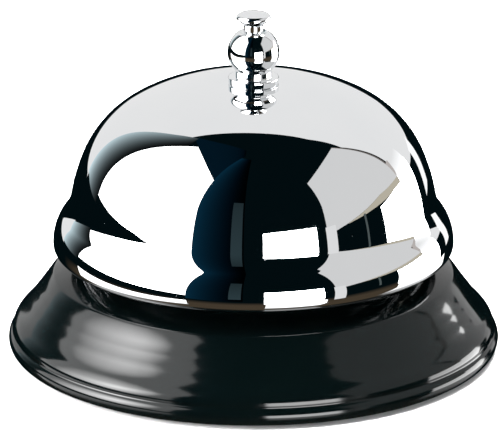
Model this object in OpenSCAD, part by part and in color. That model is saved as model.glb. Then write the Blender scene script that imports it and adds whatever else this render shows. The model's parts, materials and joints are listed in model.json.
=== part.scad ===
// Service bell: a chromed gong on a pressed base, rung by a push button.
// Millimetres, +Z up. The origin is the middle of the plane that the rubber feet stand on.
// Pressing the button drives a plunger down through the hollow pillar onto a see-saw lever,
// and the lever swings a steel striker up to the inside of the gong.

/* [Base] */
// Largest radius of the base, at its rolled bead
base_r = 42.5; // [42:0.1:44]
// Height of the rolled bead above the surface the bell stands on
bead_lift = 0.5; // [0.3:0.1:1]
// Thickness of the pressed base sheet
base_sheet = 0.8; // [0.6:0.1:0.9]
// Thickness of the bottom plate
plate_t = 0.6; // [0.4:0.1:0.8]
// Distance of each rubber foot from the centre
foot_ring_r = 30; // [24:1:33]
// Radius of a rubber foot
foot_r = 5; // [4:0.5:6]

/* [Gong] */
// Height of the gong's flat crown
crown_z = 47.6; // [47:0.1:48.5]
// Radius of the flat on the crown
crown_r = 6.5; // [6:0.1:7]
// Thickness of the gong's wall
gong_wall = 1; // [0.8:0.1:1.2]

/* [Finial and button] */
// Radius of the finial's flange
flange_r = 4.35; // [4.2:0.05:4.6]
// Radius of the finial's waist
waist_r = 3.2; // [3.1:0.05:3.4]
// Height of the finial above the crown
finial_h = 9.25; // [9.1:0.05:9.25]
// Radius of the button
button_r = 3; // [2.8:0.1:3]
// Height of the button's top above the crown
button_h = 12.7; // [12.7:0.1:13]
// Radius of the plunger's neck under the button
neck_r = 1.7; // [1.7:0.05:1.75]
// How far the button travels
press_travel = 1.8; // [1.2:0.1:1.8]

/* [Mechanism] */
// Height of the bridge's top face
bridge_z = 35; // [35:0.5:36]
// Length of the bridge along X
bridge_len = 17; // [16:0.5:20]
// Thickness of the bridge sheet
bridge_sheet = 1.2; // [1:0.1:1.3]
// Clear width between the bridge's cheeks
cheek_gap = 10; // [10:0.5:12]
// Height of the striker's pivot
pivot_z = 27; // [26.5:0.1:27.2]
// Full swing of the striker lever, in degrees
swing = 24; // [20:1:24]
// Distance from the pivot to the striker head
striker_reach = 21.3; // [19:0.1:21.4]
// Radius of the striker head
striker_r = 3; // [2.5:0.1:3]
// Radius of the plunger's rod
rod_r = 1.2; // [1:0.05:1.2]

/* [Hidden] */

$fn = 96;
cut = 0.5;            // how far a cutting shape runs past the face it cuts
run_gap = 0.05;       // radial clearance of a moving fit
touch_gap = 0.02;     // gap left between parts that only rest on each other

// Outline of the base, from the edge of its deck down to the rolled bead. Each pair is an
// arc's radius and the heading, in degrees below the horizontal, at which the arc ends.
// A negative radius is a hollow.
bead_arc_r = 1.7;
base_to_bead = [
    [2.2, 62], [-3.5, 22], [60, 26],                        // deck edge, hollow and sloping ledge
    [1.4, 48], [15, 57], [-20, 53], [14, 55.5],             // shoulder and ribbed flare
    [-20, 51.5], [18, 55], [-18, 51], [-10, 43.5],
    [7.5, 53], [2.2, 92], [-0.5, 40], [bead_arc_r, 90]      // outer shoulder, groove and bead
];
base_arcs = concat(base_to_bead, [[bead_arc_r, 178]]);

// Outline of the gong from the edge of its crown: shoulder, side, waist hollow, flared lip,
// and the small curl under the lip.
gong_arcs = [[30, 29.5], [19, 68], [34, 80], [-7, 52], [8.3, 90], [1.5, 140]];

deck_r = base_r - chain_out(base_to_bead);
deck_z = bead_lift + chain_down(base_arcs);

plate_z = bead_lift + 1.1;         // underside of the bottom plate
plate_r = base_r - 2;
dish_r = 8;                        // raised dish round the screw head
dish_h = 1.4;

tie_r = 2;                         // M4 screw
tie_hole_r = 2.1;
tie_head_r = 3.6;
tie_head_h = 1.6;
tie_washer_t = 0.8;
tie_nut_h = 3.2;
tie_nut_flats = 7;

stud_r = 2.5;                      // M5 studs of the pillar
stud_hole_r = 2.6;
bore_r = rod_r + run_gap;
pillar_flats = 8;
collar_h = 1.2;
collar_r = 5;
seat_t = 0.8;                      // fibre washer under the gong
collar_z = crown_z - gong_wall - seat_t;
stud_top_z = crown_z + 2;
stud_end_z = bridge_z - bridge_sheet - 4;
pillar_washer_t = 0.9;
pillar_nut_h = 2.7;

cavity_r = stud_r + run_gap;
cavity_top_z = crown_z + 7.6;
neck_hole_r = neck_r + run_gap;

clip_t = 0.6;
clip_z = cavity_top_z - clip_t - touch_gap;
clip_r = cavity_r - 0.15;
clip_groove_r = neck_r - 0.4;
shoulder_z = clip_z - 0.3;

lever_t = 1.2;
lever_w = 5;
lever_tail = 2.2;                  // lever beyond the plunger
lever_toe = 2.6;                   // lever beyond the striker head
pin_r = 1;
hub_r = 2;
half_swing = swing / 2;
// The pivot's distance from the plunger makes the full travel turn the full swing.
pivot_x = press_travel / 2 / tan(half_swing);
tip_centre_z = pivot_z + press_travel / 2 + (lever_t / 2 + rod_r) / cos(half_swing) + touch_gap;

cheek_y = cheek_gap / 2;
rivet_x = 5.5;
rivet_y = cheek_y + bridge_sheet + 3.4;
rivet_r = 1.3;

bumper_x = 17;
bumper_r = 2.5;
bumper_flat_r = 1.8;
bumper_top_z = pivot_z - (bumper_x + bumper_flat_r - pivot_x) * tan(half_swing)
    - lever_t / 2 / cos(half_swing) - touch_gap;

wire_r = 0.2;
coil_r = 1.5;
coil_turns = 5.5;

// Horizontal and downward run of a chain of arcs that starts level.
function chain_out(arcs, h = 0, i = 0) = i == len(arcs) ? 0
    : arcs[i][0] * (sin(arcs[i][1]) - sin(h)) + chain_out(arcs, arcs[i][1], i + 1);
function chain_down(arcs, h = 0, i = 0) = i == len(arcs) ? 0
    : arcs[i][0] * (cos(h) - cos(arcs[i][1])) + chain_down(arcs, arcs[i][1], i + 1);

// Points of one arc from p, leaving at heading h0 and ending at heading h1.
function arc_points(p, h0, r, h1) =
    let (steps = max(3, ceil(abs(h1 - h0) / 5)))
    [for (i = [1:steps]) let (h = h0 + (h1 - h0) * i / steps)
        [p[0] + r * (sin(h) - sin(h0)), p[1] - r * (cos(h0) - cos(h))]];

// Points of a whole chain of tangent arcs from p, without p itself.
function chain_points(p, h, arcs, i = 0) = i == len(arcs) ? []
    : let (points = arc_points(p, h, arcs[i][0], arcs[i][1]))
      concat(points, chain_points(points[len(points) - 1], arcs[i][1], arcs, i + 1));

// The same chain moved inwards by t, and a list turned end for end.
function inner_arcs(arcs, t) = [for (a = arcs) [a[0] - t, a[1]]];
function reversed(list) = [for (i = [len(list) - 1:-1:0]) list[i]];

// Section of a sheet of thickness t whose outer face runs level from the axis to p and then
// follows the chain.
function sheet_section(p, arcs, t) = concat(
    [[0, p[1]], p],
    chain_points(p, 0, arcs),
    reversed(chain_points([p[0], p[1] - t], 0, inner_arcs(arcs, t))),
    [[p[0], p[1] - t], [0, p[1] - t]]
);

module lathe(points) {
    rotate_extrude() polygon(points);
}

module drill(r, z0, z1) {
    translate([0, 0, z0 - cut]) cylinder(r = r, h = z1 - z0 + 2 * cut);
}

module ring(r_out, r_in, z, h) {
    difference() {
        translate([0, 0, z]) cylinder(r = r_out, h = h);
        drill(r_in, z, z + h);
    }
}

// A spring washer: a ring with one sawn gap.
module split_ring(r_out, r_in, z, h, gap) {
    difference() {
        ring(r_out, r_in, z, h);
        translate([0, -gap / 2, z - cut]) cube([r_out + cut, gap, h + 2 * cut]);
    }
}

module hex_bar(flats, z, h) {
    translate([0, 0, z]) cylinder(r = flats / 2 / cos(30), h = h, $fn = 6);
}

// A hexagon nut whose corners are chamfered top and bottom.
module hex_nut(flats, hole_r, z, h) {
    corner_r = flats / 2 / cos(30);
    chamfer = corner_r - flats / 2;
    difference() {
        intersection() {
            hex_bar(flats, z, h);
            lathe([
                [0, z], [flats / 2, z], [corner_r, z + chamfer * 0.6],
                [corner_r, z + h - chamfer * 0.6], [flats / 2, z + h], [0, z + h]
            ]);
        }
        drill(hole_r, z, z + h);
    }
}

module at_rivets() {
    for (x = [-rivet_x, rivet_x], y = [-rivet_y, rivet_y]) translate([x, y, 0]) children();
}

module at_feet() {
    for (a = [45:90:315]) rotate([0, 0, a]) translate([foot_ring_r, 0, 0]) children();
}

// Turns a lever part drawn level, with its pivot on the origin, into its rest position.
module at_pivot() {
    translate([pivot_x, 0, pivot_z]) rotate([0, half_swing, 0]) children();
}

module base_shell() {
    color([0.02, 0.03, 0.03]) difference() {
        lathe(sheet_section([deck_r, deck_z], base_arcs, base_sheet));
        drill(tie_hole_r, deck_z - base_sheet, deck_z);
        at_rivets() drill(rivet_r, deck_z - base_sheet, deck_z);
        translate([bumper_x, 0, 0]) drill(1.65, deck_z - base_sheet, deck_z);
    }
}

module bottom_plate() {
    wall = dish_h / tan(60);
    color([0.08, 0.08, 0.08]) difference() {
        lathe([
            [0, plate_z + dish_h], [dish_r - wall, plate_z + dish_h], [dish_r, plate_z],
            [plate_r, plate_z], [plate_r, plate_z + plate_t], [dish_r + plate_t / 2, plate_z + plate_t],
            [dish_r - wall + plate_t / 2, plate_z + dish_h + plate_t], [0, plate_z + dish_h + plate_t]
        ]);
        drill(tie_hole_r, plate_z + dish_h, plate_z + dish_h + plate_t);
        at_feet() drill(1.65, plate_z, plate_z + plate_t);
    }
}

// A push-in foot: a disc with a softened rim, a stem through the plate and a barb above it.
module rubber_feet() {
    top = plate_z + plate_t;
    color([0.05, 0.05, 0.05]) at_feet() lathe([
        [0, 0], [foot_r - 0.3, 0], [foot_r, 0.3], [foot_r - 0.2, plate_z], [1.6, plate_z],
        [1.6, top], [2.4, top + 0.1], [2.1, top + 0.9], [0, top + 1]
    ]);
}

module tie_screw() {
    head_top = plate_z + dish_h;
    head_z = head_top - tie_head_h;
    slot_w = 0.9;
    slot_len = 4.2;
    color([0.72, 0.72, 0.74]) difference() {
        lathe([
            [0, head_z], [tie_head_r - 0.9, head_z], [tie_head_r - 0.25, head_z + 0.35],
            [tie_head_r, head_z + 0.9], [tie_head_r, head_top], [tie_r, head_top],
            [tie_r, deck_z + tie_washer_t + tie_nut_h + 0.1],
            [tie_r - 0.4, deck_z + tie_washer_t + tie_nut_h + 0.5],
            [0, deck_z + tie_washer_t + tie_nut_h + 0.5]
        ]);
        for (a = [0, 90]) rotate([0, 0, a])
            translate([-slot_len / 2, -slot_w / 2, head_z - cut]) cube([slot_len, slot_w, cut + 1]);
    }
}

module tie_spacer() {
    z = plate_z + dish_h + plate_t;
    color([0.75, 0.75, 0.77]) ring(3.4, tie_hole_r, z, deck_z - base_sheet - z);
}

module tie_washer() {
    color([0.6, 0.6, 0.62]) split_ring(3.6, tie_hole_r, deck_z, tie_washer_t, 0.8);
}

module tie_nut() {
    color([0.75, 0.75, 0.77]) hex_nut(tie_nut_flats, tie_r, deck_z + tie_washer_t, tie_nut_h);
}

// Round-shouldered arch: a rectangle standing on z with its two top corners rounded.
module arch(half_w, z, top, r) {
    translate([-half_w, z]) square([2 * half_w, top - r - z]);
    translate([-half_w + r, z]) square([2 * (half_w - r), top - z]);
    for (s = [-1, 1]) translate([s * (half_w - r), top - r]) circle(r = r);
}

// The fillet between a cheek and its foot.
module foot_fillet(r) {
    difference() {
        square([r, r]);
        translate([r, r]) circle(r = r);
    }
}

// A hat-shaped bridge: a top plate, two cheeks and two feet.
module bridge_frame() {
    bend_r = 1.6;
    foot_end = rivet_y + 3.2;
    outer_y = cheek_y + bridge_sheet;
    fillet_r = 0.8;
    color([0.78, 0.76, 0.70]) difference() {
        rotate([90, 0, 90]) translate([0, 0, -bridge_len / 2]) linear_extrude(bridge_len) {
            difference() {
                arch(outer_y, deck_z, bridge_z, bend_r);
                arch(cheek_y, deck_z - cut, bridge_z - bridge_sheet, bend_r - bridge_sheet);
            }
            for (m = [0, 1]) mirror([m, 0]) {
                translate([outer_y - cut / 2, deck_z]) square([foot_end - outer_y + cut / 2, bridge_sheet]);
                translate([outer_y, deck_z + bridge_sheet]) foot_fillet(fillet_r);
            }
        }
        drill(stud_hole_r, bridge_z - bridge_sheet, bridge_z);
        at_rivets() drill(rivet_r, deck_z, deck_z + bridge_sheet);
        translate([pivot_x, 0, pivot_z]) rotate([90, 0, 0]) drill(pin_r, -outer_y, outer_y);
    }
}

module bridge_rivets() {
    under = deck_z - base_sheet;
    top = deck_z + bridge_sheet;
    color([0.7, 0.7, 0.72]) at_rivets() lathe([
        [0, under - 0.7], [1.5, under - 0.7], [2.1, under - 0.35], [2.1, under], [rivet_r, under],
        [rivet_r, top], [2.3, top], [2.15, top + 0.4], [1.6, top + 0.8], [0.8, top + 1], [0, top + 1]
    ]);
}

module pillar() {
    color([0.80, 0.80, 0.82]) difference() {
        union() {
            translate([0, 0, stud_end_z]) cylinder(r = stud_r, h = stud_top_z - stud_end_z);
            hex_bar(pillar_flats, bridge_z, collar_z - collar_h - bridge_z);
            translate([0, 0, collar_z - collar_h]) cylinder(r = collar_r, h = collar_h);
        }
        drill(bore_r, stud_end_z, stud_top_z);
    }
}

module pillar_washer() {
    color([0.6, 0.6, 0.62])
        split_ring(4.3, stud_hole_r, bridge_z - bridge_sheet - pillar_washer_t, pillar_washer_t, 0.9);
}

module pillar_nut() {
    color([0.75, 0.75, 0.77]) hex_nut(
        pillar_flats, stud_r, bridge_z - bridge_sheet - pillar_washer_t - pillar_nut_h, pillar_nut_h
    );
}

module seat_washer() {
    color([0.45, 0.14, 0.10]) ring(5.2, stud_hole_r, collar_z, seat_t);
}

module gong() {
    color([0.86, 0.87, 0.89]) difference() {
        lathe(sheet_section([crown_r, crown_z], gong_arcs, gong_wall));
        drill(stud_hole_r, crown_z - gong_wall, crown_z);
    }
}

// A turned nut: flange, waist and flattened ball, hollow for the spring, with a dished top.
module finial_nut() {
    top = crown_z + finial_h;
    dish = 0.65;
    rim_r = neck_hole_r + dish;
    ball = chain_points([rim_r, top], 10, [[1.1, 40], [4.4, 90], [4.3, 128]]);
    ball_end = ball[len(ball) - 1];
    flange_top = crown_z + 1.3;
    color([0.88, 0.89, 0.90]) difference() {
        lathe(concat(
            [[0, top - dish], [neck_hole_r, top - dish], [rim_r, top]],
            ball,
            [[waist_r, ball_end[1] - (ball_end[0] - waist_r) / tan(38)], [waist_r, flange_top]],
            arc_points([flange_r - 0.25, flange_top], 0, 0.25, 90),
            [[flange_r, crown_z + 0.2], [flange_r - 0.2, crown_z], [0, crown_z]]
        ));
        translate([0, 0, crown_z - cut]) cylinder(r = cavity_r, h = cavity_top_z - crown_z + cut);
        drill(neck_hole_r, cavity_top_z, top);
    }
}

// One turned piece: button, neck with a clip groove, and the thin rod with its round tip.
module plunger() {
    top = crown_z + button_h;
    crown_arc_r = 7;
    rim_arc_r = 0.3;
    crown_end = asin((button_r - rim_arc_r) / (crown_arc_r - rim_arc_r));
    button = chain_points([0, top], 0, [[crown_arc_r, crown_end], [rim_arc_r, 90], [0.5, 140]]);
    button_end = button[len(button) - 1];
    color([0.88, 0.89, 0.90]) lathe(concat(
        [[0, top]],
        button,
        [
            [neck_r, button_end[1] - (button_end[0] - neck_r) / tan(50)],
            [neck_r, clip_z + clip_t], [clip_groove_r, clip_z + clip_t],
            [clip_groove_r, clip_z], [neck_r, clip_z], [neck_r, shoulder_z],
            [rod_r, shoulder_z], [rod_r, tip_centre_z]
        ],
        arc_points([rod_r, tip_centre_z], 90, rod_r, 180)
    ));
}

module plunger_clip() {
    color([0.45, 0.45, 0.48]) split_ring(clip_r, clip_groove_r, clip_z, clip_t, 1.6);
}

// Height of the wire's centre after a number of turns. The first and last turns are closed.
function coil_height(turn, low, high) =
    let (
        closed = 2 * wire_r * 1.08,
        pitch = (high - low - 2 * closed) / (coil_turns - 2)
    )
    turn < 1 ? low + closed * turn
    : turn > coil_turns - 1 ? high - closed * (coil_turns - turn)
    : low + closed + pitch * (turn - 1);

// A round wire swept along a helix, closed by a flat face at each end.
module return_spring() {
    sides = 8;
    steps_per_turn = 20;
    steps = coil_turns * steps_per_turn;
    low = stud_top_z + wire_r + touch_gap;
    high = shoulder_z - wire_r - touch_gap;
    points = [
        for (i = [0:steps], k = [0:sides - 1])
            let (
                turn = i / steps_per_turn,
                around = 360 * k / sides,
                r = coil_r + wire_r * cos(around)
            )
            [r * cos(360 * turn), r * sin(360 * turn), coil_height(turn, low, high) + wire_r * sin(around)]
    ];
    skin = [
        for (i = [0:steps - 1], k = [0:sides - 1])
            let (next = (k + 1) % sides)
            [i * sides + k, i * sides + next, (i + 1) * sides + next, (i + 1) * sides + k]
    ];
    start_face = [for (k = [sides - 1:-1:0]) k];
    end_face = [for (k = [0:sides - 1]) steps * sides + k];
    color([0.7, 0.7, 0.72]) polyhedron(points, concat(skin, [start_face, end_face]), convexity = 8);
}

// A straight see-saw strip with a tube across it for the pivot pin.
module striker_lever() {
    hub_len = cheek_gap - 0.4;
    color([0.74, 0.73, 0.69]) at_pivot() difference() {
        union() {
            translate([-pivot_x - lever_tail, -lever_w / 2, -lever_t / 2])
                cube([pivot_x + lever_tail + striker_reach + lever_toe, lever_w, lever_t]);
            rotate([90, 0, 0]) translate([0, 0, -hub_len / 2]) cylinder(r = hub_r, h = hub_len);
        }
        rotate([90, 0, 0]) drill(pin_r + run_gap, -hub_len / 2, hub_len / 2);
        translate([striker_reach, 0, 0]) drill(1.2, -lever_t / 2, lever_t / 2);
    }
}

// A turned ball with a flat foot, riveted through the end of the lever.
module striker_head() {
    foot = lever_t / 2;
    centre = striker_r + 0.2;
    color([0.70, 0.70, 0.72]) at_pivot() translate([striker_reach, 0, 0]) {
        intersection() {
            translate([0, 0, centre]) sphere(r = striker_r);
            translate([0, 0, foot]) cylinder(r = striker_r + cut, h = 2 * striker_r + cut);
        }
        translate([0, 0, -foot]) cylinder(r = 1.2, h = 2 * foot + 0.2);
        lathe([[0, -foot - 0.8], [0.9, -foot - 0.8], [1.6, -foot - 0.5], [1.9, -foot], [0, -foot]]);
    }
}

// The pin lies along Y, with its head on one cheek and its clip outside the other.
module pivot_pin() {
    outer_y = cheek_y + bridge_sheet;
    end_y = outer_y + 1.5;
    color([0.72, 0.72, 0.74]) translate([pivot_x, 0, pivot_z]) rotate([-90, 0, 0]) lathe([
        [0, -outer_y - 0.9], [1.3, -outer_y - 0.9], [1.8, -outer_y - 0.5], [1.8, -outer_y],
        [pin_r, -outer_y], [pin_r, outer_y + 0.05], [0.75, outer_y + 0.05], [0.75, outer_y + 0.6],
        [pin_r, outer_y + 0.6], [pin_r, end_y - 0.3], [0.7, end_y], [0, end_y]
    ]);
}

module pivot_clip() {
    color([0.45, 0.45, 0.48]) translate([pivot_x, 0, pivot_z]) rotate([-90, 0, 0])
        split_ring(2, 0.75, cheek_y + bridge_sheet + 0.05, 0.55, 1);
}

// A rubber plug pushed into the deck, for the lever to fall back on.
module rest_bumper() {
    under = deck_z - base_sheet;
    color([0.06, 0.06, 0.06]) translate([bumper_x, 0, 0]) lathe([
        [0, under - 1.2], [1.3, under - 1.1], [2.3, under - 0.1], [1.6, under], [1.6, deck_z],
        [3.2, deck_z], [3.2, deck_z + 0.8], [bumper_r, deck_z + 1.1], [bumper_r, bumper_top_z - 0.5],
        [bumper_flat_r, bumper_top_z], [0, bumper_top_z]
    ]);
}

base_shell();
bottom_plate();
rubber_feet();
tie_screw();
tie_spacer();
tie_washer();
tie_nut();
bridge_frame();
bridge_rivets();
pillar();
pillar_washer();
pillar_nut();
seat_washer();
gong();
finial_nut();
plunger();
plunger_clip();
return_spring();
striker_lever();
striker_head();
pivot_pin();
pivot_clip();
rest_bumper();
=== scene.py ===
import json
import math

import bmesh
import bpy
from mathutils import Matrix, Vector

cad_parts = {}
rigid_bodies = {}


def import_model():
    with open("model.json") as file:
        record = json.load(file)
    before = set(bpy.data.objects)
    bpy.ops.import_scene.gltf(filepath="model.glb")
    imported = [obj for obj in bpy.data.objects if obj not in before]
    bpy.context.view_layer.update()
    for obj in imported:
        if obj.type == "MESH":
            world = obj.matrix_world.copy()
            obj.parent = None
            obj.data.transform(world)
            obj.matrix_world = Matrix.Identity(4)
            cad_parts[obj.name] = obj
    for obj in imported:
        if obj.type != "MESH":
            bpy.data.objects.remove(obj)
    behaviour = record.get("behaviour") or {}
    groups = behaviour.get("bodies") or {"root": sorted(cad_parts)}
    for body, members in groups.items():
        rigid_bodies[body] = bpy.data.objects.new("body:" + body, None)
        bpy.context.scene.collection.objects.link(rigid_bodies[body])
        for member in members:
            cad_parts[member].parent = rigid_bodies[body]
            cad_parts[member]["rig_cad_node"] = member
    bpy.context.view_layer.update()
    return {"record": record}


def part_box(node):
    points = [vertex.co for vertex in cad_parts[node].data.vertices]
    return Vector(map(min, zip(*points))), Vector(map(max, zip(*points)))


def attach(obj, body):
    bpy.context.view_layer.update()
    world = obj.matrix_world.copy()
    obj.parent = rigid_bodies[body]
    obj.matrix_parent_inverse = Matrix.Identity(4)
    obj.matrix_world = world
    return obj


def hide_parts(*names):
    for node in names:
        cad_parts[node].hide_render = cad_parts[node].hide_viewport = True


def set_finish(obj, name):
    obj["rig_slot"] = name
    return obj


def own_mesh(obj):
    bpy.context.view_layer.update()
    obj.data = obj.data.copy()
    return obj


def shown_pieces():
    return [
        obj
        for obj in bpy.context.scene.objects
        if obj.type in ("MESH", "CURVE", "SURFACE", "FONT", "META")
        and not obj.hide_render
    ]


# Service bell: the looks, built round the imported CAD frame. Blender works in metres, +Z up, and
# the bell is seen from -Y. Outlines are (radius, height) points in millimetres, as in the CAD,
# and each piece takes its place from the box of the CAD node that it stands for.

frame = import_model()

MM = 0.001
AROUND = 256            # segments round a turned piece
ARC_STEP = 2.0          # degrees between two points of an arc
SHARP = 32.0            # edges that turn more than this many degrees are shaded sharp
GENTLE = 20.0           # corners that turn less than this many degrees are not rounded
CORNER_SHARE = 0.4      # the most of a neighbouring edge that a rounded corner takes
TINY = 1e-6             # a length or radius below this counts as none

# Sizes in millimetres that two pieces share.
BASE_WALL = 0.8         # sheet of the base shell
PLATE_T = 0.6           # sheet of the bottom plate
FOOT_R = 5.0            # radius of a rubber foot

# Arcs as (radius, heading at its end), headings in degrees below the horizontal. A negative
# radius is a hollow.
GONG_ARCS = [(30, 29.5), (19, 68), (34, 80), (-7, 52), (8.3, 90), (1.5, 140)]
DECK_TO_LEDGE = [(2.2, 62), (-3.5, 22), (60, 26)]
RIBBED_FLARE = [(1.4, 48), (15, 57), (-20, 53), (14, 55.5), (-20, 51.5), (18, 55), (-18, 51), (-10, 43.5)]
SHOULDER_TO_BEAD = [(7.5, 53), (2.2, 92), (-0.5, 40), (1.7, 90)]
DECK_TO_BEAD = DECK_TO_LEDGE + RIBBED_FLARE + SHOULDER_TO_BEAD
BEAD_UNDERSIDE = [(1.7, 178)]


# --- Outlines ---------------------------------------------------------------------------------

def arc(start, heading, radius, end):
    """Points of an arc that leaves start at one heading and ends at another, without start."""
    steps = max(6, math.ceil(abs(end - heading) / ARC_STEP))
    h0 = math.radians(heading)
    points = []
    for i in range(1, steps + 1):
        h = math.radians(heading + (end - heading) * i / steps)
        across = radius * (math.sin(h) - math.sin(h0))
        down = radius * (math.cos(h0) - math.cos(h))
        points.append((start[0] + across, start[1] - down))
    return points


def chain(start, heading, arcs):
    """Points of a run of arcs, each tangent to the one before, without start."""
    points = []
    for radius, end in arcs:
        points += arc(start, heading, radius, end)
        start, heading = points[-1], end
    return points


def sheet(edge, hole, arcs, thickness):
    """Section of a pressed sheet: flat from a hole to edge, then along the arcs and back inside."""
    radius, top = edge
    inside = [(r - thickness, heading) for r, heading in arcs]
    outer = chain(edge, 0, arcs)
    inner = chain((radius, top - thickness), 0, inside)
    return [(hole, top), edge] + outer + inner[::-1] + [(radius, top - thickness), (hole, top - thickness)]


def soften(outline, size):
    """The closed outline with its corners rounded, as far as the neighbouring edges allow."""
    made = []
    for i, corner in enumerate(outline):
        p = Vector(corner)
        back = Vector(outline[i - 1]) - p
        on = Vector(outline[(i + 1) % len(outline)]) - p
        on_axis = corner[0] < TINY
        doubled = min(back.length, on.length) < TINY
        if on_axis or doubled or back.angle(-on) < math.radians(GENTLE):
            made.append(corner)
            continue
        a = p + back.normalized() * min(size, CORNER_SHARE * back.length)
        b = p + on.normalized() * min(size, CORNER_SHARE * on.length)
        for t in (0, 0.2, 0.4, 0.6, 0.8, 1):
            made.append(tuple(a * (1 - t) ** 2 + p * 2 * t * (1 - t) + b * t ** 2))
    return made


# --- Meshes -----------------------------------------------------------------------------------

def new_piece(name, verts, faces):
    """A mesh object from vertices in millimetres, with its normals outwards and shaded smooth."""
    mesh = bpy.data.meshes.new(name)
    mesh.from_pydata([[c * MM for c in v] for v in verts], [], faces)
    bm = bmesh.new()
    bm.from_mesh(mesh)
    bmesh.ops.recalc_face_normals(bm, faces=bm.faces)
    bm.to_mesh(mesh)
    bm.free()
    piece = bpy.data.objects.new(name, mesh)
    bpy.context.scene.collection.objects.link(piece)
    smooth(piece)
    return piece


def smooth(piece):
    """Shades the piece smooth, with its sharp edges kept."""
    piece.data.shade_smooth()
    piece.data.set_sharp_from_angle(angle=math.radians(SHARP))


def turned(name, outline, centres=((0, 0),), around=AROUND):
    """A closed outline turned about the vertical through each centre."""
    verts = []
    faces = []
    for cx, cy in centres:
        rings = []
        for r, z in outline:
            first = len(verts)
            count = around if r > TINY else 1
            for i in range(count):
                a = 2 * math.pi * i / around
                verts.append((cx + r * math.cos(a), cy + r * math.sin(a), z))
            rings.append([first + i % count for i in range(around)])
        for low, high in zip(rings, rings[1:] + rings[:1]):
            for i in range(around):
                j = (i + 1) % around
                face = list(dict.fromkeys((low[i], low[j], high[j], high[i])))
                if len(face) > 2:
                    faces.append(face)
    return new_piece(name, verts, faces)


def drill(piece, holes, low, high):
    """Cuts round holes (x, y, radius) through the piece between two heights."""
    cutter_mesh = bpy.data.meshes.new("cutter")
    bm = bmesh.new()
    for x, y, radius in holes:
        made = bmesh.ops.create_cone(
            bm, cap_ends=True, segments=64, radius1=radius * MM, radius2=radius * MM, depth=(high - low) * MM)
        bmesh.ops.translate(bm, verts=made["verts"], vec=(x * MM, y * MM, (low + high) / 2 * MM))
    bm.to_mesh(cutter_mesh)
    bm.free()
    cutter = bpy.data.objects.new("cutter", cutter_mesh)
    bpy.context.scene.collection.objects.link(cutter)
    cut = piece.modifiers.new("holes", "BOOLEAN")
    cut.operation = "DIFFERENCE"
    cut.solver = "EXACT"
    cut.object = cutter
    shape = piece.evaluated_get(bpy.context.evaluated_depsgraph_get())
    result = bpy.data.meshes.new_from_object(shape)
    piece.modifiers.clear()
    piece.data = result
    bpy.data.objects.remove(cutter)
    smooth(piece)


def bottom(node):
    """The node's lowest height, in millimetres."""
    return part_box(node)[0].z / MM


def top(node):
    """The node's greatest height, in millimetres."""
    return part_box(node)[1].z / MM


def reach(node):
    """The node's greatest distance along +X, in millimetres."""
    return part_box(node)[1].x / MM


def stand_for(piece, node, body):
    """The piece takes the CAD node's place, body and material slot."""
    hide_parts(node)
    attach(piece, body)
    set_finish(piece, slots[node])
    return piece


slots = {part["node"]: part["material_slot"] for part in frame["record"]["subparts"]}


# --- Pieces -----------------------------------------------------------------------------------

def gong():
    """A pressed dome with a hollow waist and a curled lip."""
    wall = 1.0
    crown_r = 6.5
    stud_hole = 2.6
    outline = sheet((crown_r, top("gong")), stud_hole, GONG_ARCS, wall)
    return stand_for(turned("gong_bell", soften(outline, 0.12)), "gong", "base")


def base_shell():
    """The pressed base: deck, ledge, ribbed flare, shoulder and rolled bead, with its holes."""
    tie_hole = 2.1
    rivet_r, rivet_head_r = 1.3, 2.3
    plug_hole_r = 1.65
    deck = top("base_shell")
    run = chain((0, 0), 0, DECK_TO_BEAD)[-1][0]
    outline = sheet((reach("base_shell") - run, deck), tie_hole, DECK_TO_BEAD + BEAD_UNDERSIDE, BASE_WALL)
    shell = turned("enamelled_base", soften(outline, 0.12))
    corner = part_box("bridge_rivets")[1]
    x = corner.x / MM - rivet_head_r
    y = corner.y / MM - rivet_head_r
    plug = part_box("rest_bumper")
    plug_x = (plug[0].x + plug[1].x) / 2 / MM
    holes = [(sx * x, sy * y, rivet_r) for sx in (-1, 1) for sy in (-1, 1)]
    holes += [(plug_x, 0, plug_hole_r)]
    drill(shell, holes, deck - 2 * BASE_WALL, deck + BASE_WALL)
    return stand_for(shell, "base_shell", "base")


def finial():
    """A turned nut: flange, waist and flattened ball, hollow for the spring, with a dished top."""
    crown = bottom("finial_nut")
    head = top("finial_nut")
    hole_r, dish = 1.75, 0.65
    waist_r, waist_slope = 3.2, 38
    flange_r, flange_h, flange_edge_r, foot_chamfer = 4.35, 1.3, 0.25, 0.2
    cavity_r, cavity_h = 2.55, 7.6
    ball = chain((hole_r + dish, head), 10, [(1.1, 40), (4.4, 90), (4.3, 128)])
    last_r, last_z = ball[-1]
    waist_z = last_z - (last_r - waist_r) / math.tan(math.radians(waist_slope))
    flange_edge = (flange_r - flange_edge_r, crown + flange_h)
    outline = [(hole_r, head - dish), (hole_r + dish, head)] + ball
    outline += [(waist_r, waist_z), (waist_r, crown + flange_h), flange_edge]
    outline += arc(flange_edge, 0, flange_edge_r, 90)
    outline += [(flange_r, crown + foot_chamfer), (flange_r - foot_chamfer, crown), (cavity_r, crown)]
    outline += [(cavity_r, crown + cavity_h), (hole_r, crown + cavity_h)]
    return stand_for(turned("finial", soften(outline, 0.1)), "finial_nut", "base")


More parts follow.
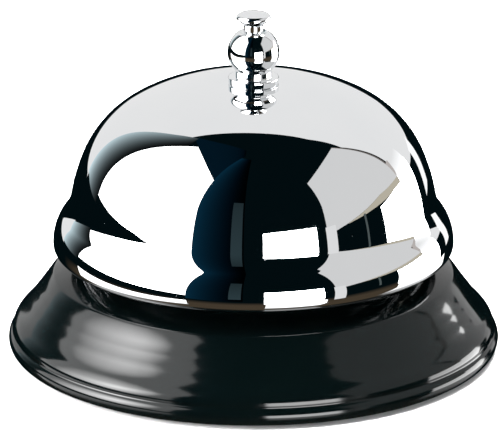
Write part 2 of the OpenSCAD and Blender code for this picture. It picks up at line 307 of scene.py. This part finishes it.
def button():
    """The button, its neck with the clip's groove, and the thin rod with a round tip."""
    head = top("plunger")
    tip = bottom("plunger")
    button_r, neck_r, rod_r, groove_r = 3.0, 1.7, 1.2, 1.3
    crown_arc, rim_arc, under_arc, under_slope = 10.0, 0.65, 0.35, 50
    groove_low, groove_high = bottom("plunger_clip"), top("plunger_clip")
    shoulder_below_groove = 0.3
    shoulder = groove_low - shoulder_below_groove
    crown_end = math.degrees(math.asin((button_r - rim_arc) / (crown_arc - rim_arc)))
    cap = chain((0, head), 0, [(crown_arc, crown_end), (rim_arc, 90), (under_arc, 90 + under_slope)])
    last_r, last_z = cap[-1]
    outline = [(0, head)] + cap
    outline += [(neck_r, last_z - (last_r - neck_r) / math.tan(math.radians(under_slope)))]
    outline += [(neck_r, groove_high), (groove_r, groove_high), (groove_r, groove_low)]
    outline += [(neck_r, groove_low), (neck_r, shoulder), (rod_r, shoulder), (rod_r, tip + rod_r)]
    outline += arc((rod_r, tip + rod_r), 90, rod_r, 180)
    outline[-1] = (0, tip)
    return stand_for(turned("push_button", soften(outline, 0.08), around=128), "plunger", "plunger")


def bottom_plate():
    """A pressed plate with a raised dish round the tie screw, and holes for the feet."""
    under = bottom("bottom_plate")
    crest = top("bottom_plate")
    edge = reach("bottom_plate")
    dish_r, dish_slope, hole_r, stem_hole_r = 8.0, 60, 2.1, 1.65
    dish = crest - under - PLATE_T
    wall = dish / math.tan(math.radians(dish_slope))
    outline = [
        (hole_r, under + dish), (dish_r - wall, under + dish), (dish_r, under), (edge, under),
        (edge, under + PLATE_T), (dish_r + PLATE_T / 2, under + PLATE_T),
        (dish_r - wall + PLATE_T / 2, crest), (hole_r, crest),
    ]
    plate = turned("base_plate", soften(outline, 0.5))
    holes = [(x, y, stem_hole_r) for x, y in foot_centres()]
    drill(plate, holes, under - 1, under + 1.2)
    return stand_for(plate, "bottom_plate", "base")


def foot_centres():
    """The feet stand in a square: each box side is half the square's side plus a foot's radius."""
    offset = reach("rubber_feet") - FOOT_R
    return [(sx * offset, sy * offset) for sx in (-1, 1) for sy in (-1, 1)]


def rubber_feet():
    """Moulded push-in feet with a shallow ring and a dimple in the sole."""
    plate_under = bottom("bottom_plate")
    plate_top = plate_under + PLATE_T
    outline = [
        (0, 0.25), (1.2, 0.25), (1.5, 0), (3.0, 0), (3.2, 0.2), (3.5, 0.2), (3.7, 0), (4.6, 0),
        (FOOT_R, 0.4), (4.8, plate_under), (1.6, plate_under), (1.6, plate_top),
        (2.4, plate_top + 0.1), (2.1, plate_top + 0.9), (0, plate_top + 1),
    ]
    return stand_for(turned("feet", soften(outline, 0.18), foot_centres(), 96), "rubber_feet", "base")


def rest_bumper():
    """A rubber plug: barb, flange with a lip, and the block that the lever falls on."""
    low, high = bottom("rest_bumper"), top("rest_bumper")
    barb_h = 1.2
    under = low + barb_h
    deck = under + BASE_WALL
    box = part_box("rest_bumper")
    centre = ((box[0].x + box[1].x) / 2 / MM, 0)
    outline = [
        (0, low), (1.3, low + 0.1), (2.3, under - 0.1), (1.6, under), (1.6, deck), (3.2, deck),
        (3.2, deck + 0.8), (2.5, deck + 1.1), (2.5, high - 0.5), (1.8, high), (0, high),
    ]
    return stand_for(turned("bumper", soften(outline, 0.15), (centre,), 96), "rest_bumper", "base")


def return_spring():
    """A round wire along a helix whose end turns lie close."""
    wire, coil, turns, sides, steps_per_turn = 0.2, 1.5, 5.5, 16, 48
    low, high = bottom("return_spring") + wire, top("return_spring") - wire
    closed = 2.16 * wire
    pitch = (high - low - 2 * closed) / (turns - 2)

    def height(turn):
        """The wire's height after that many turns."""
        if turn < 1:
            return low + closed * turn
        if turn > turns - 1:
            return high - closed * (turns - turn)
        return low + closed + pitch * (turn - 1)

    steps = int(turns * steps_per_turn)
    verts = []
    for i in range(steps + 1):
        turn = i / steps_per_turn
        a = 2 * math.pi * turn
        for k in range(sides):
            b = 2 * math.pi * k / sides
            r = coil + wire * math.cos(b)
            verts.append((r * math.cos(a), r * math.sin(a), height(turn) + wire * math.sin(b)))
    faces = [list(range(sides)), list(range(steps * sides, (steps + 1) * sides))]
    for i in range(steps):
        for k in range(sides):
            n = (k + 1) % sides
            faces.append([i * sides + k, i * sides + n, (i + 1) * sides + n, (i + 1) * sides + k])
    spring = new_piece("coil_spring", verts, faces)
    stand_for(spring, "return_spring", "base")
    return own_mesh(spring)


# --- Finishes ---------------------------------------------------------------------------------

MIX_A, MIX_B, MIX_RESULT = 6, 7, 2      # the colour sockets of a Mix node, which share their names


class Finish:
    """A node material: one Principled shader, and procedural textures measured in millimetres."""

    def __init__(self, name, metallic=0.0, **values):
        self.material = bpy.data.materials.new(name)
        self.material.use_nodes = True
        self.tree = self.material.node_tree
        self.shader = self.tree.nodes["Principled BSDF"]
        self.normal = None
        self.place = self.add("ShaderNodeTexCoord").outputs["Object"]
        self.set("Metallic", metallic)
        for key, value in values.items():
            self.set(key.replace("_", " "), value)

    def add(self, kind, **settings):
        """A new node with its settings."""
        node = self.tree.nodes.new(kind)
        for key, value in settings.items():
            setattr(node, key, value)
        return node

    def feed(self, socket, value):
        """Links or sets an input: a socket, a colour or vector, or a number."""
        if isinstance(value, bpy.types.NodeSocket):
            self.tree.links.new(value, socket)
        elif isinstance(value, tuple):
            socket.default_value = (*value, 1) if len(value) < len(socket.default_value) else value
        else:
            socket.default_value = value

    def set(self, name, value):
        """Feeds one input of the shader."""
        self.feed(self.shader.inputs[name], value)

    def scaled(self, size, stretch):
        """Places counted in patches of size millimetres, longer by stretch along x, y and z."""
        mapping = self.add("ShaderNodeMapping")
        self.feed(mapping.inputs["Vector"], self.place)
        mapping.inputs["Scale"].default_value = [1 / (size * MM * s) for s in stretch]
        return mapping.outputs["Vector"]

    def noise(self, size, detail=3.0, stretch=(1, 1, 1), rough=0.5):
        """A cloudy texture whose patches are about size millimetres, longer where stretch is over 1."""
        node = self.add("ShaderNodeTexNoise")
        self.feed(node.inputs["Vector"], self.scaled(size, stretch))
        node.inputs["Scale"].default_value = 1
        node.inputs["Detail"].default_value = detail
        node.inputs["Roughness"].default_value = rough
        return node.outputs["Fac"]

    def specks(self, size, share):
        """1 on small round specks that lie about size millimetres apart, else 0."""
        node = self.add("ShaderNodeTexVoronoi")
        self.feed(node.inputs["Vector"], self.scaled(size, (1, 1, 1)))
        node.inputs["Scale"].default_value = 1
        return self.span(node.outputs["Distance"], 1, 0, share * 0.5, share)

    def span(self, value, low, high, start=0.3, end=0.7):
        """Value from start to end becomes low to high."""
        node = self.add("ShaderNodeMapRange")
        self.feed(node.inputs["Value"], value)
        node.inputs["From Min"].default_value = start
        node.inputs["From Max"].default_value = end
        self.feed(node.inputs["To Min"], low)
        self.feed(node.inputs["To Max"], high)
        return node.outputs["Result"]

    def between(self, value, a, b):
        """Colour a where value is 0 and b where it is 1."""
        node = self.add("ShaderNodeMix", data_type="RGBA")
        self.feed(node.inputs["Factor"], value)
        self.feed(node.inputs[MIX_A], a)
        self.feed(node.inputs[MIX_B], b)
        return node.outputs[MIX_RESULT]

    def bump(self, height, depth):
        """Relief of depth millimetres where height is 1, added to the relief so far."""
        node = self.add("ShaderNodeBump")
        self.feed(node.inputs["Height"], height)
        node.inputs["Distance"].default_value = depth * MM
        if self.normal is not None:
            self.feed(node.inputs["Normal"], self.normal)
        self.normal = node.outputs["Normal"]
        self.set("Normal", self.normal)

    def edges(self, radius):
        """Rounds the look of sharp edges, and gives a mask that is 1 along them."""
        rounded = self.add("ShaderNodeBevel", samples=4)
        rounded.inputs["Radius"].default_value = radius * MM
        flat = self.add("ShaderNodeNewGeometry").outputs["Normal"]
        product = self.add("ShaderNodeVectorMath", operation="DOT_PRODUCT")
        self.feed(product.inputs[0], rounded.outputs["Normal"])
        self.feed(product.inputs[1], flat)
        self.normal = rounded.outputs["Normal"]
        self.set("Normal", self.normal)
        return self.span(product.outputs["Value"], 1, 0, 0.86, 0.995)


def chrome(name, low_rough, high_rough, ripple):
    """Bright chrome plate: polishing haze, fine lines round the piece, a slow ripple and rare pits."""
    f = Finish(name, metallic=1)
    f.set("Base Color", f.between(f.noise(11), (0.85, 0.865, 0.88), (0.90, 0.905, 0.91)))
    haze = f.span(f.noise(6, 5), low_rough, high_rough)
    f.set("Roughness", f.span(f.specks(2.6, 0.03), haze, 0.3, 0, 1))
    f.bump(f.noise(16, 1), ripple)
    f.bump(f.noise(0.5, 2, (14, 14, 1)), 0.0004)
    f.bump(f.specks(2.6, 0.02), -0.002)
    return f.material


def enamel(name):
    """Stoved gloss enamel: near-black with a green cast, orange peel, slow waves, dust and haze."""
    f = Finish(name, Specular_IOR_Level=0.32)
    dark = f.between(f.noise(18), (0.0002, 0.0007, 0.0008), (0.0005, 0.0013, 0.0013))
    f.set("Base Color", f.between(f.specks(3.1, 0.03), dark, (0.004, 0.005, 0.005)))
    f.set("Roughness", f.span(f.noise(7, 5), 0.06, 0.13))
    f.bump(f.noise(9, 2, (1, 1, 2)), 0.05)
    f.bump(f.noise(2.2, 1), 0.003)
    return f.material


def satin_paint(name):
    """Thin satin paint on sheet steel, rubbed through to the metal along edges."""
    f = Finish(name)
    worn = f.edges(0.25)
    patchy = f.span(f.noise(1.8, 6), 0, 1, 0.45, 0.6)
    mask = f.add("ShaderNodeMath", operation="MULTIPLY")
    f.feed(mask.inputs[0], worn)
    f.feed(mask.inputs[1], patchy)
    cloudy = f.span(f.noise(7, 7, rough=0.65), 0, 1)
    paint = f.between(cloudy, (0.012, 0.012, 0.013), (0.042, 0.041, 0.041))
    f.set("Base Color", f.between(mask.outputs[0], paint, (0.30, 0.30, 0.31)))
    f.set("Metallic", mask.outputs[0])
    f.set("Roughness", f.span(f.noise(1.2, 4), 0.34, 0.52))
    f.bump(f.noise(0.35, 2), 0.006)
    f.bump(f.noise(0.3, 2, (50, 2, 1)), 0.006)
    return f.material


def rubber(name):
    """Black moulded rubber with a fine grain and a little bloom."""
    f = Finish(name, Specular_IOR_Level=0.35)
    f.set("Base Color", f.between(f.noise(3, 5), (0.010, 0.010, 0.011), (0.028, 0.028, 0.027)))
    f.set("Roughness", f.span(f.noise(1.1, 4), 0.55, 0.82))
    f.bump(f.noise(0.18, 3), 0.012)
    return f.material


def plated(name, dark, light, rough, edge_light):
    """Zinc or nickel plate: cloudy colour, drawn lines, and edges rubbed brighter."""
    f = Finish(name, metallic=1)
    worn = f.edges(0.15)
    cloud = f.between(f.span(f.noise(2.4, 5), 0, 1), dark, light)
    f.set("Base Color", f.between(worn, cloud, edge_light))
    f.set("Roughness", f.span(f.noise(0.9, 4), rough - 0.07, rough + 0.08))
    f.bump(f.noise(0.14, 2, (10, 1, 1)), 0.003)
    return f.material


def turned_steel(name, colour, rough):
    """Machined steel: tool rings one above another, faint stains and bright edges."""
    f = Finish(name, metallic=1)
    worn = f.edges(0.12)
    darker = tuple(c * 0.8 for c in colour)
    lighter = tuple(min(1, c * 1.2) for c in colour)
    f.set("Base Color", f.between(worn, f.between(f.noise(2, 4), darker, colour), lighter))
    f.set("Roughness", f.span(f.noise(0.8, 4), rough - 0.06, rough + 0.1))
    f.bump(f.noise(0.12, 1, (60, 60, 1)), 0.004)
    return f.material


def fibre(name):
    """Vulcanised fibre: dull red with pressed layers and short darker strands."""
    f = Finish(name, Specular_IOR_Level=0.3)
    f.set("Base Color", f.between(f.noise(0.5, 5, (6, 2, 1)), (0.16, 0.028, 0.018), (0.36, 0.085, 0.05)))
    f.set("Roughness", f.span(f.noise(0.7, 4), 0.6, 0.85))
    f.bump(f.noise(0.2, 3, (8, 3, 1)), 0.01)
    return f.material


def make_finishes():
    """Every material, by the slot that the CAD record names."""
    return {
        "gong_chrome": chrome("gong_chrome", 0.006, 0.024, 0.018),
        "finial_chrome": chrome("finial_chrome", 0.03, 0.07, 0.003),
        "button_chrome": chrome("button_chrome", 0.03, 0.08, 0.002),
        "black_enamel": enamel("black_enamel"),
        "black_plate": satin_paint("black_plate"),
        "black_rubber": rubber("black_rubber"),
        "zinc_screw": plated("zinc_screw", (0.50, 0.52, 0.55), (0.68, 0.69, 0.70), 0.28, (0.82, 0.82, 0.83)),
        "yellow_zinc": plated("yellow_zinc", (0.55, 0.43, 0.20), (0.74, 0.66, 0.42), 0.3, (0.80, 0.76, 0.62)),
        "striker_nickel": plated("striker_nickel", (0.56, 0.54, 0.48), (0.70, 0.67, 0.60), 0.2,
                                 (0.80, 0.78, 0.72)),
        "turned_steel": turned_steel("turned_steel", (0.62, 0.62, 0.63), 0.24),
        "spring_steel": turned_steel("spring_steel", (0.30, 0.30, 0.32), 0.3),
        "red_fibre": fibre("red_fibre"),
    }


def dress(objects, finishes):
    """Gives each object the material of its slot."""
    for thing in objects:
        slot = thing.get("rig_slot") or slots[thing["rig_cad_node"]]
        thing.data.materials.clear()
        thing.data.materials.append(finishes[slot])


# --- Studio -----------------------------------------------------------------------------------

STUDIO_CENTRE = Vector((0, 0, 0.03))
CARD_DISTANCE = 3.0
SIDE_FALL = 3.0                 # how steeply a card's light falls towards a dimmed side
LAMP_PLACE = (0.4, 0.2, 0)      # where a card's lamp stands, as shares of its width and height
LAMP_SPREAD = 0.34              # how far the lamp's bright patch reaches, in the same shares

NAVY = (0.05, 0.5, 1.0)
PALE_BLUE = (0.75, 0.94, 1.0)
GREY_BLUE = (0.5, 0.86, 1.0)
GREENISH = (0.8, 1.0, 1.0)
BEIGE = (1.0, 0.92, 0.74)
DULL_PINK = (1.0, 0.9, 0.84)
PALE_PINK = (1.0, 0.92, 0.88)


def ramp(tree, value, start, end, low, high):
    """Value from start to end becomes low to high."""
    node = tree.nodes.new("ShaderNodeMapRange")
    tree.links.new(value, node.inputs["Value"])
    for socket, number in (("From Min", start), ("From Max", end), ("To Min", low), ("To Max", high)):
        node.inputs[socket].default_value = number
    return node.outputs["Result"]


def calculate(tree, operation, a, b):
    """The result of a Math node on two sockets, or on a socket and a number."""
    node = tree.nodes.new("ShaderNodeMath")
    node.operation = operation
    tree.links.new(a, node.inputs[0])
    if isinstance(b, bpy.types.NodeSocket):
        tree.links.new(b, node.inputs[1])
    else:
        node.inputs[1].default_value = b
    return node.outputs[0]


def glow(name, colour, strength, foot_share, side_shares, hot):
    """Light whose strength has foot_share at the card's foot and side_shares at its left and right.
    hot is how much brighter it is where the lamp behind it stands."""
    material = bpy.data.materials.new(name)
    material.use_nodes = True
    tree = material.node_tree
    tree.nodes.clear()
    place = tree.nodes.new("ShaderNodeTexCoord").outputs["UV"]
    split = tree.nodes.new("ShaderNodeSeparateXYZ")
    tree.links.new(place, split.inputs[0])
    from_lamp = tree.nodes.new("ShaderNodeVectorMath")
    from_lamp.operation = "DISTANCE"
    tree.links.new(place, from_lamp.inputs[0])
    from_lamp.inputs[1].default_value = LAMP_PLACE
    level = ramp(tree, from_lamp.outputs["Value"], 0, LAMP_SPREAD, strength * (1 + hot), strength)
    level = calculate(tree, "MULTIPLY", level, ramp(tree, split.outputs["Y"], 0, 1, foot_share, 1))
    across = ramp(tree, split.outputs["X"], 0, 1, *side_shares)
    if side_shares != (1, 1):
        across = calculate(tree, "POWER", across, SIDE_FALL)
    level = calculate(tree, "MULTIPLY", level, across)
    light = tree.nodes.new("ShaderNodeEmission")
    light.inputs["Color"].default_value = (*colour, 1)
    tree.links.new(level, light.inputs["Strength"])
    out = tree.nodes.new("ShaderNodeOutputMaterial")
    tree.links.new(light.outputs[0], out.inputs["Surface"])
    return material


def both_ends(value):
    """A pair as it is, or one number for both ends."""
    return value if isinstance(value, tuple) else (value, value)


def card(name, facing, left, right, foot, head, strength,
         colour=(1, 1, 1), foot_share=1, side_shares=(1, 1), hot=0):
    """An upright light card square to the direction facing. Azimuths run from the camera, 0, to
    the right, 90. left and right are azimuths, as (foot, head) where an edge leans. foot and head
    are elevations in the facing direction, as (left, right) where an edge slopes."""
    lefts, rights, feet, heads = map(both_ends, (left, right, foot, head))
    a = math.radians(facing)
    ahead = Vector((math.sin(a), -math.cos(a), 0))
    side = Vector((math.cos(a), math.sin(a), 0))
    corners = [(lefts[0], feet[0]), (rights[0], feet[1]), (rights[1], heads[1]), (lefts[1], heads[0])]
    verts = []
    for azimuth, elevation in corners:
        along = CARD_DISTANCE * math.tan(math.radians(azimuth - facing))
        up = CARD_DISTANCE * math.tan(math.radians(elevation))
        verts.append(STUDIO_CENTRE + ahead * CARD_DISTANCE + side * along + Vector((0, 0, up)))
    mesh = bpy.data.meshes.new(name)
    mesh.from_pydata(verts, [], [(0, 1, 2, 3)])
    layer = mesh.uv_layers.new(name="UV")
    for loop, uv in enumerate(((0, 0), (1, 0), (1, 1), (0, 1))):
        layer.data[loop].uv = uv
    mesh.materials.append(glow(name, colour, strength, foot_share, side_shares, hot))
    made = bpy.data.objects.new(name, mesh)
    bpy.context.scene.collection.objects.link(made)
    made.visible_camera = False
    return made


def light_cards():
    """The panels, windows and table tops that the chrome and the enamel mirror."""
    card("key_left", -95, -117, (-38, -30), (1, -2.5), 68, 3, hot=9)
    card("key_left_table", -95, -117, -38, -45, (-11, -22), 2.8, foot_share=0.05)
    card("back_panel", 175, 116, 222, (13, -5), 68, 0.86)
    card("back_left_gap", -129, -139, -118, -2, 63, 0.05, PALE_BLUE, 18, (1, 0.22))
    card("right_panel", 95, 47, 113.5, (10, 13.5), 58, 0.70)
    card("right_panel_trim", 95, 62, 113.5, (10.8, 8), (11, 13.5), 0.52, BEIGE)
    card("right_panel_seam", 95, 113.5, 114.8, 8, 58, 0.15, DULL_PINK)
    card("right_panel_corner", 124, 113.5, (114.2, 117.5), 12.5, 24, 0.52, PALE_PINK)
    card("right_edge_strip", 49, 46, 53, -15, 11, 0.8)
    card("right_low_window", 109, 89, 131, -14, 8.5, 9)
    card("right_window_top", 124, 114.2, 131, 8.5, 13, 9)
    card("right_window_haze", 124, (114.2, 117), 131, 13, 21, 0.86, foot_share=1.4)
    card("right_low_table", 109, 90, 138, -45, -14, 2.2, foot_share=0.03)
    card("right_far_slit", 145, 141, 149, -9, 7, 1.1)
    card("right_box_bar", 75, 74.3, 75.8, -6, 10, 0.1, GREENISH)
    card("front_window", 22, 6, 40, -14, 13, 15)
    card("front_table", 22, 7, 42, -45, -14, 3.5, foot_share=0.05)
    card("front_bar", -10, -14, -7, -3, 34, 0.03, GREY_BLUE, foot_share=1.8)
    card("front_navy", -24, -38, -6, -8, 82, 0.05, NAVY, side_shares=(1, 0.2))
    card("left_navy_top", -95, -140, -38, 68.3, 87, 0.0012, NAVY, foot_share=14)


def soft_lamp(name, height, turn, energy):
    """A wide soft light above or below that isn't mirrored by the bell."""
    data = bpy.data.lights.new(name, "AREA")
    data.size = 1.6
    data.energy = energy
    lamp = bpy.data.objects.new(name, data)
    lamp.location = (0, 0, height)
    lamp.rotation_euler.x = math.radians(turn)
    lamp.visible_glossy = False
    lamp.visible_camera = False
    bpy.context.scene.collection.objects.link(lamp)


def floor():
    """A plain pale floor, seen from above only, that the chrome doesn't mirror. The lamp under it
    shines through, onto the feet and the bottom plate."""
    half = 4.0
    mesh = bpy.data.meshes.new("floor")
    corners = [(-half, -half, 0), (half, -half, 0), (half, half, 0), (-half, half, 0)]
    mesh.from_pydata(corners, [], [(0, 1, 2, 3)])
    made = bpy.data.objects.new("floor", mesh)
    bpy.context.scene.collection.objects.link(made)
    f = Finish("floor_paper", Roughness=0.9)
    f.set("Base Color", f.between(f.noise(40, 4), (0.86, 0.86, 0.86), (0.89, 0.89, 0.885)))
    clear = f.add("ShaderNodeBsdfTransparent").outputs[0]
    passed = f.add("ShaderNodeMath", operation="MAXIMUM")
    f.feed(passed.inputs[0], f.add("ShaderNodeNewGeometry").outputs["Backfacing"])
    f.feed(passed.inputs[1], f.add("ShaderNodeLightPath").outputs["Is Shadow Ray"])
    mix = f.add("ShaderNodeMixShader")
    f.feed(mix.inputs["Fac"], passed.outputs[0])
    f.feed(mix.inputs[1], f.shader.outputs[0])
    f.feed(mix.inputs[2], clear)
    f.feed(f.tree.nodes["Material Output"].inputs["Surface"], mix.outputs[0])
    mesh.materials.append(f.material)
    made.visible_glossy = False


def mirrored_room(tree):
    """The colour of the room: near-black, and a warm brown table well below the horizon in front of
    and beside the bell. Heights and depths are those of a direction of length 1."""
    near_black = (0.0008, 0.0040, 0.0052, 1)
    brown = (0.062, 0.046, 0.030, 1)
    table_starts, table_is_full = -0.17, -0.29
    behind, beside = 0.7, 0.45
    split = tree.nodes.new("ShaderNodeSeparateXYZ")
    tree.links.new(tree.nodes.new("ShaderNodeTexCoord").outputs["Generated"], split.inputs[0])
    low_enough = ramp(tree, split.outputs["Z"], table_starts, table_is_full, 0, 1)
    not_behind = ramp(tree, split.outputs["Y"], behind, beside, 0, 1)
    colour = tree.nodes.new("ShaderNodeMix")
    colour.data_type = "RGBA"
    tree.links.new(calculate(tree, "MULTIPLY", low_enough, not_behind), colour.inputs["Factor"])
    colour.inputs[MIX_A].default_value = near_black
    colour.inputs[MIX_B].default_value = brown
    return colour.outputs[MIX_RESULT]


def surroundings():
    """White where the camera looks past the bell, and the dark room in reflections."""
    world = bpy.data.worlds.new("studio")
    bpy.context.scene.world = world
    world.use_nodes = True
    tree = world.node_tree
    tree.nodes.clear()
    mirrored = tree.nodes.new("ShaderNodeBackground")
    tree.links.new(mirrored_room(tree), mirrored.inputs["Color"])
    seen = tree.nodes.new("ShaderNodeBackground")
    seen.inputs["Color"].default_value = (1, 1, 1, 1)
    either = tree.nodes.new("ShaderNodeMixShader")
    tree.links.new(tree.nodes.new("ShaderNodeLightPath").outputs["Is Camera Ray"], either.inputs["Fac"])
    tree.links.new(mirrored.outputs[0], either.inputs[1])
    tree.links.new(seen.outputs[0], either.inputs[2])
    out = tree.nodes.new("ShaderNodeOutputWorld")
    tree.links.new(either.outputs[0], out.inputs["Surface"])


def camera():
    """A long lens a metre away, looking slightly down."""
    elevation = math.radians(18.4)
    distance = 1.0
    aim = Vector((-0.0006, 0, 0.0233))
    data = bpy.data.cameras.new("camera")
    data.sensor_width = 36
    data.lens = 418
    data.clip_start = 0.01
    made = bpy.data.objects.new("camera", data)
    made.location = STUDIO_CENTRE + distance * Vector((0, -math.cos(elevation), math.sin(elevation)))
    made.rotation_euler = (aim - made.location).to_track_quat("-Z", "Y").to_euler()
    bpy.context.scene.collection.objects.link(made)
    bpy.context.scene.camera = made


# --- The scene --------------------------------------------------------------------------------

gong()
base_shell()
finial()
button()
bottom_plate()
rubber_feet()
rest_bumper()
return_spring()
dress(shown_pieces(), make_finishes())

floor()
light_cards()
soft_lamp("overhead", 2.0, 0, 240)
soft_lamp("underneath", -2.0, 180, 160)
surroundings()
camera()
bpy.context.scene.view_settings.view_transform = "Standard"
